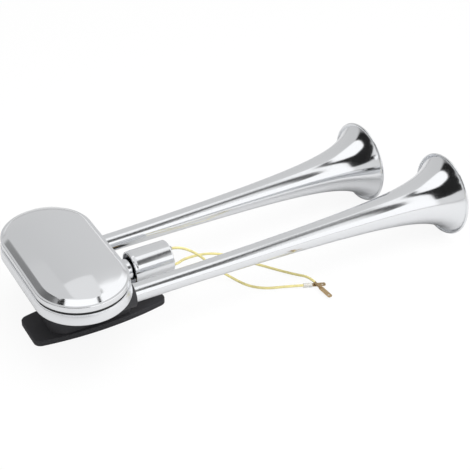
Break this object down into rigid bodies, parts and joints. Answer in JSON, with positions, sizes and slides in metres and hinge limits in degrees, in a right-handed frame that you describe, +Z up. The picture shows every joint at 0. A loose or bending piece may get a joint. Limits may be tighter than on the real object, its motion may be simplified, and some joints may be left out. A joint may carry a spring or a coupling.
{
  "type": "air horn",
  "caption": "Chromed air horn: a long and a short flared trumpet on an oval domed sounding head with a black foot, and a solenoid air valve with wire leads. Gives a loud warning note.",
  "frame": {"origin": "On the surface the horn stands on, under the middle of the oval head", "axes": "+X from the head to the bells, +Y across to the side of the short trumpet, +Z up"},
  "size_m": [0.4147, 0.17, 0.0848],
  "materials": {
    "bright_chrome": "mirror chrome plate",
    "black_plastic": "fine satin black moulding",
    "black_rubber": "matt black rubber",
    "steel": "plain zinc plated steel",
    "brass": "plain turned brass",
    "copper": "enamelled copper",
    "yellow_lead": "pale yellow insulation",
    "terminal_brass": "dull brown brass",
    "clear_boot": "milky clear sleeve"
  },
  "bodies": {
    "horn": {"foot_plate": "black_plastic", "foot_screws": "steel", "mount_inserts": "brass", "housing": "black_plastic", "inlet_barb": "brass", "head_skirt": "bright_chrome", "head_gasket": "black_rubber", "head_cover": "bright_chrome", "cover_screws": "steel", "clamp_screws": "steel", "trumpet_long": "bright_chrome", "trumpet_short": "bright_chrome", "diaphragm_long": "steel", "diaphragm_short": "steel", "clamp_ring_long": "steel", "clamp_ring_short": "steel", "tube_seals": "black_rubber", "tube_screws": "steel", "valve_body": "bright_chrome", "valve_ring": "black_rubber", "guide_tube": "steel", "pole_plate": "steel", "coil_bobbin": "black_plastic", "coil_winding": "copper", "fixed_core": "steel", "core_nut": "steel", "plunger_spring": "steel", "coil_case": "bright_chrome", "wire_ferrules": "steel", "wire_one": "yellow_lead", "wire_two": "yellow_lead", "terminal_one": "terminal_brass", "terminal_two": "terminal_brass", "terminal_boot": "clear_boot"},
    "plunger": {"plunger": "steel", "plunger_seal": "black_rubber"}
  },
  "joints": [
    {"name": "plunger_slide", "type": "slide", "parent": "horn", "child": "plunger", "axis": [1, 0, 0], "range_m": [0, 0.0015], "stiffness_N_per_m": 300, "springref_m": -0.005, "deforming": ["plunger_spring"]}
  ]
}
